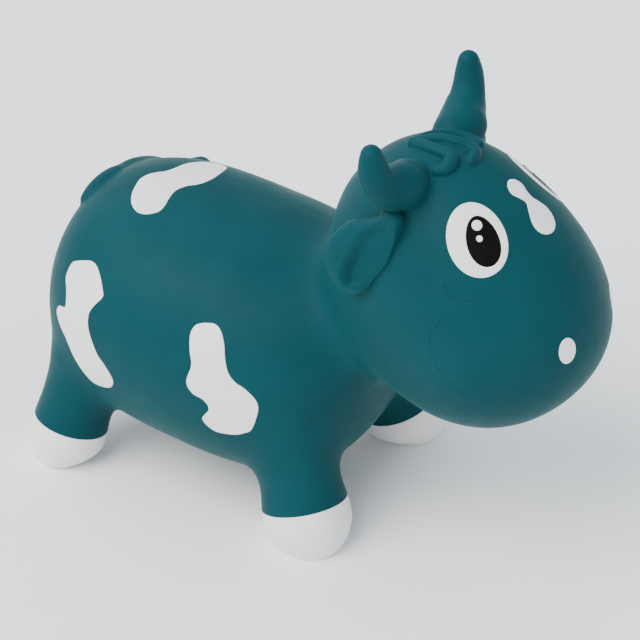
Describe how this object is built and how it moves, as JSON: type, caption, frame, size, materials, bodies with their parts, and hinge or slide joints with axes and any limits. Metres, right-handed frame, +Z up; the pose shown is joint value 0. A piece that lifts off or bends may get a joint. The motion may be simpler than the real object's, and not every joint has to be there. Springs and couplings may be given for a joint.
{
  "type": "inflatable ride-on cow",
  "caption": "Air-filled vinyl cow that a toddler sits on and bounces, with horns to hold, painted hooves, eyes and patches, and a belly valve with a pull-out stopper",
  "frame": {"origin": "On the floor under the middle of the animal's length, on its plane of symmetry", "axes": "+X runs from tail to muzzle, +Y is the animal's left, +Z is up; the four hoof soles stand on Z = 0"},
  "size_m": [0.5808, 0.2886, 0.471],
  "materials": {
    "teal_vinyl": "soft moulded vinyl with a satin-matt skin",
    "white_paint": "white flexible paint on the vinyl skin; the hooves are vinyl painted all over",
    "black_paint": "black flexible paint",
    "clear_vinyl": "natural milky vinyl stopper"
  },
  "bodies": {
    "feet": {"hoof_front_right": "white_paint", "hoof_front_left": "white_paint", "hoof_rear_right": "white_paint", "hoof_rear_left": "white_paint", "leg_front_right": "teal_vinyl", "leg_front_left": "teal_vinyl", "leg_rear_right": "teal_vinyl", "leg_rear_left": "teal_vinyl"},
    "ride_body": {"torso_skin": "teal_vinyl", "head_skin": "teal_vinyl", "horn_right": "teal_vinyl", "horn_left": "teal_vinyl", "ear_right": "teal_vinyl", "ear_left": "teal_vinyl", "tail": "teal_vinyl", "forelock": "teal_vinyl", "valve_seat": "teal_vinyl", "patch_flank_right": "white_paint", "patch_flank_left": "white_paint", "patch_rump_right": "white_paint", "patch_rump_left": "white_paint", "patch_back": "white_paint", "patch_forehead": "white_paint", "eye_white_right": "white_paint", "eye_white_left": "white_paint", "glint_upper_right": "white_paint", "glint_upper_left": "white_paint", "glint_lower_right": "white_paint", "glint_lower_left": "white_paint", "nostril_right": "white_paint", "nostril_left": "white_paint", "pupil_right": "black_paint", "pupil_left": "black_paint"},
    "plug": {"valve_plug": "clear_vinyl"}
  },
  "joints": [
    {"name": "bounce", "type": "slide", "parent": "feet", "child": "ride_body", "axis": [0, 0, 1], "range_m": [-0.02, 0], "stiffness_N_per_m": 4000, "springref_m": 0.005, "deforming": ["leg_front_right", "leg_front_left", "leg_rear_right", "leg_rear_left"]},
    {"name": "plug_pull", "type": "slide", "parent": "ride_body", "child": "plug", "axis": [-0.1132, 0, -0.9936], "range_m": [0, 0.016]}
  ]
}
